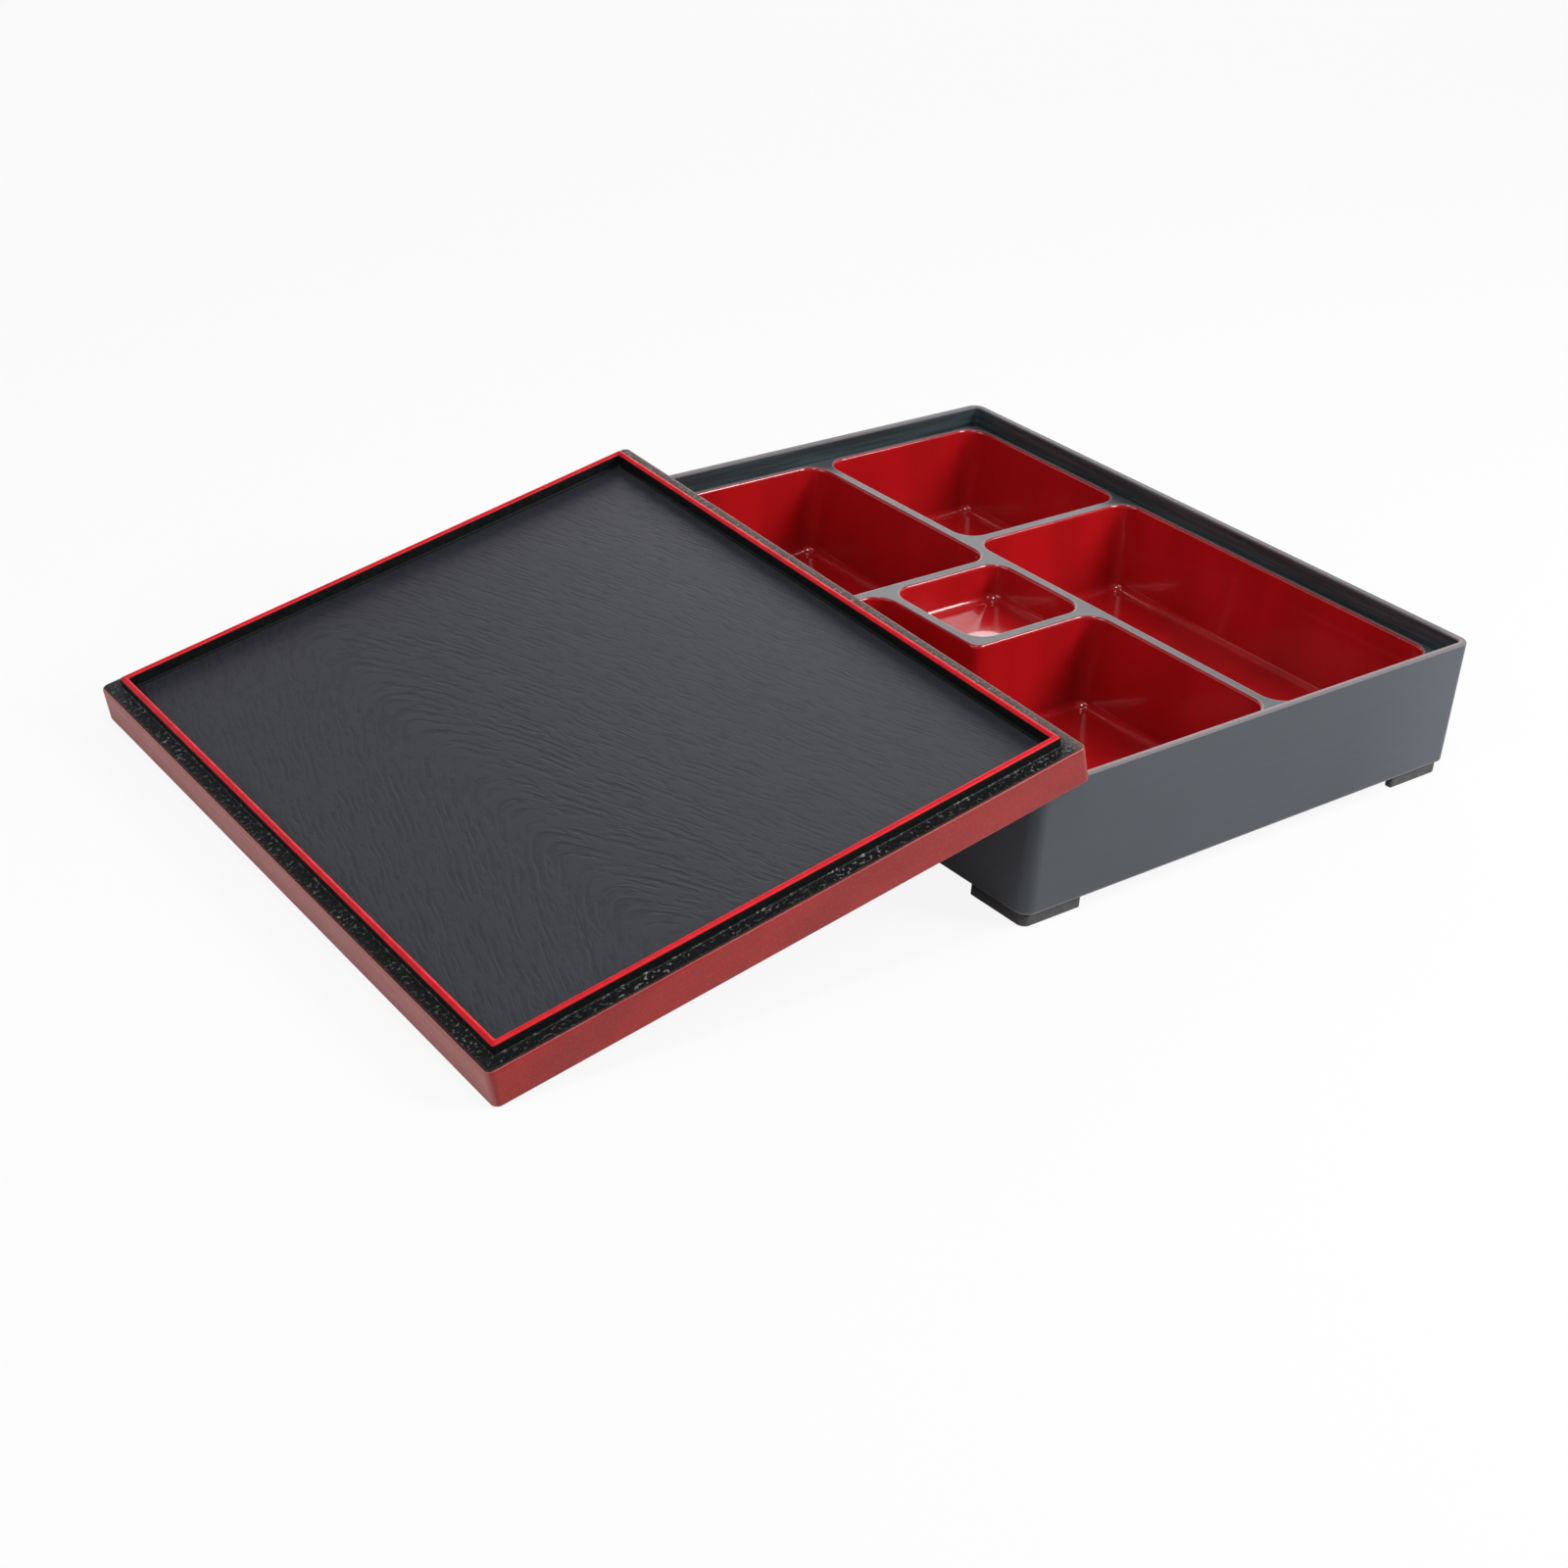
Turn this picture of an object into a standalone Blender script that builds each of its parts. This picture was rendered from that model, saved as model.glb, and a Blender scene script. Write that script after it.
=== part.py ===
import math

import bmesh
import bpy
from mathutils import Euler, Matrix, Vector

MM = 0.001

# Clearances
REST_GAP = 0.3 * MM
LID_REST_GAP = 0.4 * MM
INSERT_SIDE_GAP = 0.6 * MM
LID_SIDE_GAP = 1.9 * MM

# Outer box
BOX_WIDTH = 214.2 * MM
BOX_LENGTH = 266.0 * MM
BOX_WALL_HEIGHT = 47.8 * MM
BOX_CORNER_RADIUS = 5.0 * MM
BOX_WALL = 2.8 * MM
BOX_FLOOR = 2.6 * MM
BOX_DRAFT = 0.6 * MM
BOX_FLOOR_FILLET = 3.0 * MM
RIM_ROUND = 0.5 * MM

# Corner feet of the box
FOOT_HEIGHT = 5.4 * MM
FOOT_INSET = 1.8 * MM
FOOT_THICKNESS = 3.0 * MM
FOOT_LEG = 26.0 * MM
FOOT_END_RADIUS = 0.8 * MM
FOOT_SINK = 1.0 * MM

# Compartment insert
INSERT_DROP = 7.6 * MM
INSERT_WALL = 1.8 * MM
INSERT_EDGE = 0.6 * MM
INSERT_CORNER_RADIUS = 4.6 * MM
RIM_LAND = 2.6 * MM
NEAR_LAND = 8.7 * MM
WEB_WIDTH = 4.8 * MM
CUP_CORNER_RADIUS = 8.5 * MM
CUP_INNER_CORNER_RADIUS = 4.0 * MM
CUP_DRAFT = 3.4 * MM
CUP_FLOOR_FILLET = 3.0 * MM
CUP_FLOOR_RADIUS = 4.0 * MM
CUP_LIP_ROUND = 1.1 * MM
SMALL_CUP_DEPTH = 14.0 * MM
SMALL_CUP_DRAFT = 1.8 * MM
SPLIT_ACROSS = 17.3 * MM
SPLIT_RIGHT = 38.7 * MM
SPLIT_LEFT = 21.4 * MM
SMALL_CUP_NEAR = -30.4 * MM
SMALL_CUP_LEFT = -40.7 * MM

# Lid
LID_SKIRT = 2.4 * MM
LID_PLATE = 3.2 * MM
LID_SIDE = 13.3 * MM
LID_FLARE = 0.2 * MM
LID_CORNER_RADIUS = 2.6 * MM
LID_EDGE_ROUND = 1.0 * MM
LID_INNER_FILLET = 1.5 * MM
SKIRT_TIP_ROUND = 0.5 * MM
BEAD_INSET = 5.8 * MM
BEAD_WIDTH = 2.6 * MM
BEAD_HEIGHT = 4.0 * MM
PANEL_DROP = 1.1 * MM
PANEL_FILLET = 0.9 * MM

# Where the lid leans
LID_OVERLAP = 27.1 * MM
LID_CORNER_GAP = 0.5 * MM
LID_YAW = -3.88

# Smoothness of round corners
LEAST_RADIUS = 0.2 * MM
CORNER_STEPS = 7
FILLET_STEPS = 4


def clear_scene():
    """Remove every object of the starting scene."""
    for item in list(bpy.data.objects):
        bpy.data.objects.remove(item, do_unlink=True)


def material(name, colour, roughness):
    """A plain coating colour for one moulding."""
    coat = bpy.data.materials.new(name)
    coat.use_nodes = True
    shader = coat.node_tree.nodes["Principled BSDF"]
    shader.inputs["Base Color"].default_value = (*colour, 1.0)
    shader.inputs["Roughness"].default_value = roughness
    shader.inputs["Metallic"].default_value = 0.0
    coat.diffuse_color = (*colour, 1.0)
    return coat


def rectangle(x0, x1, y0, y1):
    """Corners of a rectangle, counter-clockwise."""
    return [(x0, y0), (x1, y0), (x1, y1), (x0, y1)]


def centred(width, length):
    """Corners of a rectangle about the origin."""
    return rectangle(-width / 2, width / 2, -length / 2, length / 2)


def edge_directions(corners):
    """For each corner: the way in, the way out and the sense of the turn."""
    count = len(corners)
    found = []
    for i in range(count):
        here = Vector(corners[i])
        before = (here - Vector(corners[i - 1])).normalized()
        after = (Vector(corners[(i + 1) % count]) - here).normalized()
        found.append((before, after, before.x * after.y - before.y * after.x))
    return found


def rounded(corners, radii):
    """Points of a counter-clockwise outline whose corners are arcs of the given radii."""
    points = []
    for corner, size, (before, _, turn) in zip(corners, radii, edge_directions(corners)):
        size = max(size, LEAST_RADIUS)
        start = Vector(corner) - before * size
        side = Vector((-before.y, before.x)) * math.copysign(1.0, turn)
        centre = start + side * size
        arm = start - centre
        for step in range(CORNER_STEPS + 1):
            angle = math.copysign(math.pi / 2, turn) * step / CORNER_STEPS
            c = math.cos(angle)
            s = math.sin(angle)
            points.append(centre + Vector((arm.x * c - arm.y * s, arm.x * s + arm.y * c)))
    return points


def outline(corners, inset, radius, inner_radius):
    """A counter-clockwise outline moved inward by the inset, with rounded corners."""
    moved = []
    radii = []
    for corner, (before, after, turn) in zip(corners, edge_directions(corners)):
        inward = Vector((-before.y, before.x)) + Vector((-after.y, after.x))
        moved.append(Vector(corner) + inward * inset)
        radii.append(radius if turn > 0 else inner_radius)
    return rounded(moved, radii)


def loft(name, rings):
    """A closed solid through rings of points, first ring to last, both ends capped."""
    mesh = bmesh.new()
    loops = []
    for points, height in rings:
        loops.append([mesh.verts.new((p.x, p.y, height)) for p in points])
    count = len(loops[0])
    for lower, upper in zip(loops, loops[1:]):
        for i in range(count):
            j = (i + 1) % count
            mesh.faces.new((lower[i], lower[j], upper[j], upper[i]))
    mesh.faces.new(list(reversed(loops[0])))
    mesh.faces.new(loops[-1])
    bmesh.ops.recalc_face_normals(mesh, faces=mesh.faces)
    data = bpy.data.meshes.new(name)
    mesh.to_mesh(data)
    mesh.free()
    item = bpy.data.objects.new(name, data)
    bpy.context.scene.collection.objects.link(item)
    return item


def combine(target, tool, operation):
    """Join the tool to the target or cut it away, and drop the tool."""
    modifier = target.modifiers.new("combine", "BOOLEAN")
    modifier.operation = operation
    modifier.solver = "EXACT"
    modifier.object = tool
    graph = bpy.context.evaluated_depsgraph_get()
    joined = bpy.data.meshes.new_from_object(target.evaluated_get(graph))
    target.modifiers.clear()
    target.data = joined
    bpy.data.objects.remove(tool, do_unlink=True)


def finish_shading(item, coat, angle=32.0):
    """Give the piece its coating, smooth its rounds and keep its flat edges crisp."""
    item.data.materials.clear()
    item.data.materials.append(coat)
    for face in item.data.polygons:
        face.use_smooth = True
        face.material_index = 0
    item.data.set_sharp_from_angle(angle=math.radians(angle))


def quarter(steps):
    """Pairs of sine and versine along a quarter circle."""
    pairs = []
    for step in range(steps + 1):
        angle = math.pi / 2 * step / steps
        pairs.append((math.sin(angle), 1.0 - math.cos(angle)))
    return pairs


def box_body():
    """The open box, with the rim at height zero."""
    corners = centred(BOX_WIDTH, BOX_LENGTH)
    inner_floor = -BOX_WALL_HEIGHT + BOX_FLOOR

    def ring(inset, height):
        lean = BOX_DRAFT * -height / BOX_WALL_HEIGHT
        radius = BOX_CORNER_RADIUS - min(inset, BOX_WALL)
        return outline(corners, inset + lean, radius, radius), height

    rings = [ring(RIM_ROUND, -BOX_WALL_HEIGHT)]
    rings.append(ring(0.0, -BOX_WALL_HEIGHT + RIM_ROUND))
    for along, rise in quarter(2):
        rings.append(ring(RIM_ROUND * rise, -RIM_ROUND + RIM_ROUND * along))
    for along, rise in quarter(2):
        rings.append(ring(BOX_WALL - RIM_ROUND + RIM_ROUND * along, -RIM_ROUND * rise))
    for along, rise in quarter(FILLET_STEPS):
        height = inner_floor + BOX_FLOOR_FILLET * (1.0 - along)
        rings.append(ring(BOX_WALL + BOX_FLOOR_FILLET * rise, height))
    return loft("outer_box", rings)


def corner_foot(side_x, side_y):
    """One L-shaped foot under a corner of the box."""
    reach_x = BOX_WIDTH / 2 - BOX_DRAFT - FOOT_INSET
    reach_y = BOX_LENGTH / 2 - BOX_DRAFT - FOOT_INSET
    leg = FOOT_LEG
    thick = FOOT_THICKNESS
    corners = [(0, 0), (leg, 0), (leg, thick), (thick, thick), (thick, leg), (0, leg)]
    end = FOOT_END_RADIUS
    radii = [BOX_CORNER_RADIUS - FOOT_INSET, end, end, end, end, end]
    flat = rounded(corners, radii)
    placed = []
    for p in flat:
        placed.append(Vector((side_x * (reach_x - p.x), side_y * (reach_y - p.y))))
    base = -BOX_WALL_HEIGHT - FOOT_HEIGHT
    top = -BOX_WALL_HEIGHT + FOOT_SINK
    return loft("foot", [(placed, base), (placed, top)])


def outer_box():
    """The box with its four corner feet as one solid."""
    body = box_body()
    for side_x in (-1, 1):
        for side_y in (-1, 1):
            combine(body, corner_foot(side_x, side_y), "UNION")
    return body


def cup_plans():
    """Outline corners, floor height and draft of the five compartments."""
    half = WEB_WIDTH / 2
    edge_x = BOX_WIDTH / 2 - BOX_WALL - INSERT_SIDE_GAP - RIM_LAND
    far_y = BOX_LENGTH / 2 - BOX_WALL - INSERT_SIDE_GAP - RIM_LAND
    near_y = -BOX_LENGTH / 2 + BOX_WALL + INSERT_SIDE_GAP + NEAR_LAND
    deep = -BOX_WALL_HEIGHT + BOX_FLOOR + REST_GAP + INSERT_WALL
    shallow = -INSERT_DROP - SMALL_CUP_DEPTH
    right = SPLIT_ACROSS + half
    left = SPLIT_ACROSS - half
    far_left = rectangle(-edge_x, left, SPLIT_LEFT + half, far_y)
    far_right = rectangle(right, edge_x, SPLIT_RIGHT + half, far_y)
    near_right = rectangle(right, edge_x, near_y, SPLIT_RIGHT - half)
    small = rectangle(SMALL_CUP_LEFT + half, left, SMALL_CUP_NEAR + half, SPLIT_LEFT - half)
    near_left = [
        (-edge_x, near_y),
        (left, near_y),
        (left, SMALL_CUP_NEAR - half),
        (SMALL_CUP_LEFT - half, SMALL_CUP_NEAR - half),
        (SMALL_CUP_LEFT - half, SPLIT_LEFT - half),
        (-edge_x, SPLIT_LEFT - half),
    ]
    plans = []
    for corners in (far_left, far_right, near_right, near_left):
        plans.append((corners, deep, CUP_DRAFT))
    plans.append((small, shallow, SMALL_CUP_DRAFT))
    return plans


def cup_rings(corners, floor, draft, skin, top):
    """Rings of a drafted cup from its filleted floor up, its corners tighter below, grown outward by the skin."""
    mouth = -INSERT_DROP
    fillet = CUP_FLOOR_FILLET + skin
    base = floor - skin

    def ring(inset, height):
        depth = (mouth - height) / (mouth - floor)
        lean = draft * depth
        turn = CUP_CORNER_RADIUS + (CUP_FLOOR_RADIUS - CUP_CORNER_RADIUS) * depth
        radius = turn + skin - max(inset, 0.0) * 0.6
        inner = CUP_INNER_CORNER_RADIUS - skin * 0.5 + max(inset, 0.0) * 0.6
        return outline(corners, lean + inset - skin, radius, inner), height

    rings = []
    for along, rise in reversed(quarter(FILLET_STEPS)):
        rings.append(ring(fillet * rise, base + fillet * (1.0 - along)))
    rings.append(ring(0.0, top))
    return rings


def cup_outside(corners, floor, draft):
    """The outer skin of a cup, reaching up into the top plate."""
    return loft("cup_outside", cup_rings(corners, floor, draft, INSERT_WALL, -INSERT_DROP - INSERT_WALL / 2))


def cup_inside(corners, floor, draft):
    """The hollow of a cup, opening through a rounded lip."""
    lip = CUP_LIP_ROUND
    rings = cup_rings(corners, floor, draft, 0.0, -INSERT_DROP - lip)
    radius = CUP_CORNER_RADIUS
    inner = CUP_INNER_CORNER_RADIUS
    for out, height in ((0.22, -0.5), (0.62, -0.16), (1.1, 0.2)):
        grow = lip * out
        rings.append((outline(corners, -grow, radius + grow, inner), -INSERT_DROP + lip * height))
    return loft("cup_inside", rings)


def compartment_insert():
    """The insert: a top plate with five cups hanging from it, all one thin shell."""
    width = BOX_WIDTH - 2 * (BOX_WALL + INSERT_SIDE_GAP)
    length = BOX_LENGTH - 2 * (BOX_WALL + INSERT_SIDE_GAP)
    corners = centred(width, length)
    radius = INSERT_CORNER_RADIUS
    rings = []
    for inset, height in ((0.3, -1.0), (0.0, -0.7), (0.0, -0.35), (0.35, -0.08), (1.0, 0.0)):
        shift = INSERT_EDGE * inset
        rings.append((outline(corners, shift, radius, radius), -INSERT_DROP + INSERT_WALL * height))
    body = loft("compartment_insert", rings)
    plans = cup_plans()
    for corners, floor, draft in plans:
        combine(body, cup_outside(corners, floor, draft), "UNION")
    for corners, floor, draft in plans:
        combine(body, cup_inside(corners, floor, draft), "DIFFERENCE")
    return body


def lid_size():
    """Width and length of the lid, which drops over the outside of the box wall."""
    grow = 2 * (LID_SIDE_GAP + LID_SKIRT)
    return BOX_WIDTH + grow, BOX_LENGTH + grow


def lid():
    """The lid about its own centre, with the flange at height zero and the underside open."""
    width, length = lid_size()
    corners = centred(width, length)

    def ring(inset, height):
        flare = -LID_FLARE * -height / LID_SIDE if height < 0 else 0.0
        radius = max(LID_CORNER_RADIUS - inset, 0.8 * MM)
        return outline(corners, inset + flare, radius, radius), height

    inside = LID_SKIRT
    tip = SKIRT_TIP_ROUND
    rings = [ring(inside + LID_INNER_FILLET, -LID_PLATE)]
    rings.append(ring(inside + LID_INNER_FILLET * 0.29, -LID_PLATE - LID_INNER_FILLET * 0.29))
    rings.append(ring(inside, -LID_PLATE - LID_INNER_FILLET))
    rings.append(ring(inside, -LID_SIDE + tip))
    rings.append(ring(inside - tip, -LID_SIDE))
    rings.append(ring(tip, -LID_SIDE))
    rings.append(ring(0.0, -LID_SIDE + tip))
    for along, rise in quarter(3):
        rings.append(ring(LID_EDGE_ROUND * rise, -LID_EDGE_ROUND * (1.0 - along)))
    crown = BEAD_WIDTH / 2
    shoulder = BEAD_HEIGHT - crown
    rings.append(ring(BEAD_INSET - 0.5 * MM, 0.0))
    rings.append(ring(BEAD_INSET, 0.5 * MM))
    for along, rise in quarter(3):
        rings.append(ring(BEAD_INSET + crown * rise, shoulder + crown * along))
    for along, rise in quarter(3)[1:]:
        rings.append(ring(BEAD_INSET + crown + crown * along, shoulder + crown * (1.0 - rise)))
    rings.append(ring(BEAD_INSET + BEAD_WIDTH, PANEL_FILLET - PANEL_DROP))
    rings.append(ring(BEAD_INSET + BEAD_WIDTH + PANEL_FILLET * 0.3, PANEL_FILLET * 0.3 - PANEL_DROP))
    rings.append(ring(BEAD_INSET + BEAD_WIDTH + PANEL_FILLET, -PANEL_DROP))
    return loft("lid", rings)


def lean_lid(item):
    """Stand the lid with its left skirt on the table and its right skirt across the box rim."""
    width, length = lid_size()
    reach = width / 2 + LID_FLARE - SKIRT_TIP_ROUND
    span = width + 2 * LID_FLARE - LID_SKIRT
    table = -BOX_WALL_HEIGHT - FOOT_HEIGHT
    lean = math.asin((LID_REST_GAP - table) / span)
    yaw = math.radians(LID_YAW)
    turn = Matrix.Rotation(yaw, 3, "Z") @ Euler((0.0, -lean, 0.0)).to_matrix()
    low = turn @ Vector((-reach, 0.0, -LID_SIDE))
    high = turn @ Vector((reach, 0.0, -LID_SIDE))
    x = -BOX_WIDTH / 2 + LID_OVERLAP - high.x
    corner_x = -BOX_WIDTH / 2 + BOX_CORNER_RADIUS
    corner_y = -BOX_LENGTH / 2 + BOX_CORNER_RADIUS
    along = BOX_CORNER_RADIUS - length / 2 + LID_SKIRT + LID_CORNER_GAP
    y = corner_y - (along + (corner_x - x) * math.sin(yaw)) / math.cos(yaw)
    item.rotation_euler = turn.to_euler()
    item.location = (x, y, table - low.z)


def stand_on_origin(pieces):
    """Hang the set from one empty so that it stands on the ground, centred over the origin."""
    root = bpy.data.objects.new("bento_set", None)
    bpy.context.scene.collection.objects.link(root)
    bpy.context.view_layer.update()
    spots = []
    for item in pieces:
        for vertex in item.data.vertices:
            spots.append(item.matrix_world @ vertex.co)
    low = [min(spot[axis] for spot in spots) for axis in range(3)]
    high = [max(spot[axis] for spot in spots) for axis in range(3)]
    for item in pieces:
        item.parent = root
    root.location = (-(low[0] + high[0]) / 2, -(low[1] + high[1]) / 2, -low[2])
    bpy.context.view_layer.update()


def main():
    clear_scene()
    box = outer_box()
    insert = compartment_insert()
    cover = lid()
    lean_lid(cover)
    finish_shading(box, material("charcoal_grain", (0.035, 0.037, 0.04), 0.42))
    finish_shading(insert, material("glossy_red", (0.42, 0.008, 0.012), 0.14))
    finish_shading(cover, material("black_grain", (0.03, 0.032, 0.034), 0.38))
    stand_on_origin([box, insert, cover])


main()
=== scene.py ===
import math

import bmesh
import bpy
from mathutils import Euler, Matrix, Vector
from mathutils.geometry import delaunay_2d_cdt


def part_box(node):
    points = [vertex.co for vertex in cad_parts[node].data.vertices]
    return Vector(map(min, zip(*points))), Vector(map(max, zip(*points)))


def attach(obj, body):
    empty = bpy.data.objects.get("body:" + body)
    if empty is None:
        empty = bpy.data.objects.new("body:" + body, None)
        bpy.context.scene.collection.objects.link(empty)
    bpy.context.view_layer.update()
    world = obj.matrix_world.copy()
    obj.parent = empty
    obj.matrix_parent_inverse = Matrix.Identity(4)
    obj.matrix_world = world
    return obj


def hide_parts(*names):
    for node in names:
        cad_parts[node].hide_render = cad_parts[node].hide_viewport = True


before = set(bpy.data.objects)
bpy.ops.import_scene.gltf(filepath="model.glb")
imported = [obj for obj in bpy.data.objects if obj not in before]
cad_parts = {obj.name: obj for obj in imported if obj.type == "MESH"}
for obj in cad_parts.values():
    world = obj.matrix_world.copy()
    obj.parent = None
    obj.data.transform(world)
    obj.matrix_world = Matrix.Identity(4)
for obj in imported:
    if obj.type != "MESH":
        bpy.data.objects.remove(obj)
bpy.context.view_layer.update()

MM = 0.001

# Outer box
BOX_WIDTH = 214.2 * MM
BOX_LENGTH = 266.0 * MM
BOX_WALL_HEIGHT = 47.8 * MM
BOX_CORNER_RADIUS = 5.0 * MM
BOX_WALL = 2.8 * MM
BOX_FLOOR = 2.6 * MM
BOX_DRAFT = 0.6 * MM
BOX_FLOOR_FILLET = 3.0 * MM
RIM_ROUND = 0.5 * MM

# Corner feet
FOOT_HEIGHT = 5.4 * MM
FOOT_INSET = 1.8 * MM
FOOT_THICKNESS = 3.0 * MM
FOOT_LEG = 26.0 * MM
FOOT_END_RADIUS = 0.8 * MM
FOOT_EDGE_ROUND = 0.4 * MM
FOOT_SINK = 1.0 * MM

# Compartment insert
REST_GAP = 0.3 * MM
INSERT_SIDE_GAP = 0.6 * MM
INSERT_DROP = 7.6 * MM
INSERT_WALL = 1.8 * MM
INSERT_EDGE = 0.6 * MM
INSERT_CORNER_RADIUS = 4.6 * MM
RIM_LAND = 2.6 * MM
NEAR_LAND = 8.7 * MM
WEB_WIDTH = 4.8 * MM
CUP_CORNER_RADIUS = 8.5 * MM
CUP_INNER_CORNER_RADIUS = 4.0 * MM
CUP_DRAFT = 3.4 * MM
CUP_FLOOR_FILLET = 3.0 * MM
CUP_FLOOR_RADIUS = 4.0 * MM
CUP_LIP_ROUND = 1.0 * MM
CORNER_SHRINK = 0.6
INNER_CORNER_SHRINK = 0.5
LIP_HOLD = 0.5 * MM
LIP_EASE = 0.3 * MM
SMALL_CUP_DEPTH = 14.0 * MM
SMALL_CUP_DRAFT = 1.8 * MM
SPLIT_ACROSS = 17.3 * MM
SPLIT_RIGHT = 38.7 * MM
SPLIT_LEFT = 21.4 * MM
SMALL_CUP_NEAR = -30.4 * MM
SMALL_CUP_LEFT = -40.7 * MM

# Lid
LID_SIDE_GAP = 1.9 * MM
LID_SKIRT = 2.4 * MM
LID_PLATE = 3.2 * MM
LID_SIDE = 13.3 * MM
LID_FLARE = 0.2 * MM
LID_CORNER_RADIUS = 2.6 * MM
LID_LEAST_RADIUS = 0.8 * MM
LID_EDGE_ROUND = 1.0 * MM
LID_INNER_FILLET = 1.5 * MM
SKIRT_TIP_ROUND = 0.5 * MM
BEAD_INSET = 5.8 * MM
BEAD_WIDTH = 2.6 * MM
BEAD_HEIGHT = 4.0 * MM
BEAD_FILLET = 0.5 * MM
BEAD_FILLET_START = 0.9 * MM
PANEL_DROP = 1.1 * MM
PANEL_FILLET = 0.9 * MM
PANEL_FILLET_HOLD = 0.3 * MM
CROWN_RUN = 0.05 * MM
CROWN_EASE = 0.05 * MM
EDGE_BAND = 0.15 * MM
EDGE_BAND_EASE = 0.3 * MM
EDGE_HOLD = 0.6 * MM

# Where the lid leans
LID_REST_GAP = 0.4 * MM
LID_OVERLAP = 27.1 * MM
LID_CORNER_GAP = 0.5 * MM
LID_YAW = -3.88

# Smoothness of round corners and edges, and the rings that keep the flats beside them flat
LEAST_RADIUS = 0.2 * MM
CORNER_STEPS = 12
RIM_STEPS = 4
BOX_FLOOR_STEPS = 8
FOOT_STEPS = 3
CUP_FLOOR_STEPS = 10
UNDER_FLOOR_STEPS = 8
LIP_STEPS = 6
LIP_RED_STEPS = 4
LID_HOLLOW_STEPS = 6
LID_EDGE_STEPS = 3
BEAD_FILLET_STEPS = 3
CROWN_STEPS = 6
CROWN_RED_START = 3
CROWN_RED_END = 4
PANEL_STEPS = 5
HOLD = 0.4 * MM
ROUND_HOLD = 0.5 * MM
WALL_HOLD = 2.0 * MM
TRIANGLE_SLACK = 1e-9

# Top edge of the insert: inset and height as shares of the edge and of the wall, and rub
INSERT_EDGE_PROFILE = (
    (0.5, -1.0, 0.0),
    (0.15, -0.96, 0.0),
    (0.0, -0.8, 0.0),
    (0.0, -0.35, 0.4),
    (0.3, -0.1, 0.9),
    (1.0, 0.0, 0.5),
    (1.6, 0.0, 0.0),
)

# How rubbed each edge is, from 0 to 1
BASE_RUB = 0.55
RIM_SIDE_RUB = 0.45
FOOT_RUB = 0.6
LIP_RUB = 0.9
SKIRT_RUB = 0.5
SKIRT_TIP_RUB = 0.3

# Coats in the order of their slots: of the box, of the insert and of the lid
OUTSIDE, INSIDE = range(2)
WEB, CUP, UNDER = range(3)
RED, FLANGE, CROWN, PANEL, BEAD = range(5)

# The camera, from the middle of the box mouth
CAMERA_SPOT = (-687.343 * MM, -675.620 * MM, 422.780 * MM)
CAMERA_HEADING = 41.0470
CAMERA_DIP = 28.4320
CAMERA_ROLL = -4.7443
CAMERA_LENS = 65.047
CAMERA_SENSOR = 36.0
CAMERA_NEAREST = 0.01
CAMERA_FARTHEST = 50.0

# The studio
SKY = 0.18
BACKDROP_START = -60.0
BACKDROP_END = 130.0
BACKDROP_STEPS = 24
BACKDROP_HEIGHT = 1.2
BACKDROP_REACH = 2.4
BACKDROP_GLOW = 0.55
BACKDROP_WHITE = 0.8
TABLE_WHITE = 0.62
TABLE_GLOW = 0.90
TABLE_SHINE = 0.26
TABLE_HALF = 4.0
TABLE_DROP = 0.0001
STUDIO_ROUGHNESS = 0.9
WHITE = (1.0, 1.0, 1.0, 1.0)

# Name, place, aim, width and height, and watts of each soft lamp
LAMPS = (
    ("key", (0.72, -0.85, 0.80), (0.06, 0.0, 0.02), (0.60, 0.6), 19.6),
    ("fill", (-1.30, -0.10, 0.80), (-0.05, 0.0, 0.02), (0.8, 0.8), 6.4),
    ("top", (-0.22, -0.33, 1.08), (0.10, 0.0, 0.04), (0.18, 0.18), 4.2),
    ("back", (1.25, 1.45, 0.95), (0.0, 0.0, 0.03), (1.1, 0.7), 8.0),
)

# Colours, as linear light
WALL_GREY = (0.051, 0.057, 0.068)
RUBBED_GREY = (0.30, 0.235, 0.235)
INSIDE_GREY = (0.022, 0.036, 0.040)
FOOT_GREY = (0.050, 0.050, 0.052)
WEB_GREY = (0.056, 0.057, 0.064)
UNDER_GREY = (0.028, 0.030, 0.033)
PANEL_BLACK = (0.0176, 0.0188, 0.0258)
FLANGE_BLACK = (0.0045, 0.0052, 0.0055)
SPARKLE = (0.20, 0.205, 0.205)
EDGE_BROWN = (0.035, 0.016, 0.013)
BEAD_BLACK = (0.004, 0.0045, 0.0045)
CUP_RED = (0.325, 0.0050, 0.0070)
CROWN_RED = (0.58, 0.003, 0.010)
LID_RED = (0.245, 0.0055, 0.0045)
# Dust on the lid, also used for the painted sheen on its left side
LID_DUST_AND_SHEEN = (0.46, 0.175, 0.155)
# Painted sheen of the flange's right side
FLANGE_SHEEN_COLOUR = (0.17, 0.125, 0.105)

# Shares of the rubbed grey. On the outside of the box it falls from the near to the far share
# between the start and the end, which are places along its length.
WALL_RUB_NEAR = 0.75
WALL_RUB_FAR = 0.20
WALL_RUB_START = -0.50 * BOX_LENGTH
WALL_RUB_END = -0.44 * BOX_LENGTH
INSIDE_RUB = 0.35
FOOT_SCUFF = 0.4
WEB_RUB = 0.45

# How much lighter the outside of the box is painted towards its right side, as painted light from the key
# lamp, and where across it this starts and ends
WALL_PAINTED_LIGHT = 1.32
WALL_PAINTED_LIGHT_START = 0.2 * BOX_WIDTH
WALL_PAINTED_LIGHT_END = 0.5 * BOX_WIDTH

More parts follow.
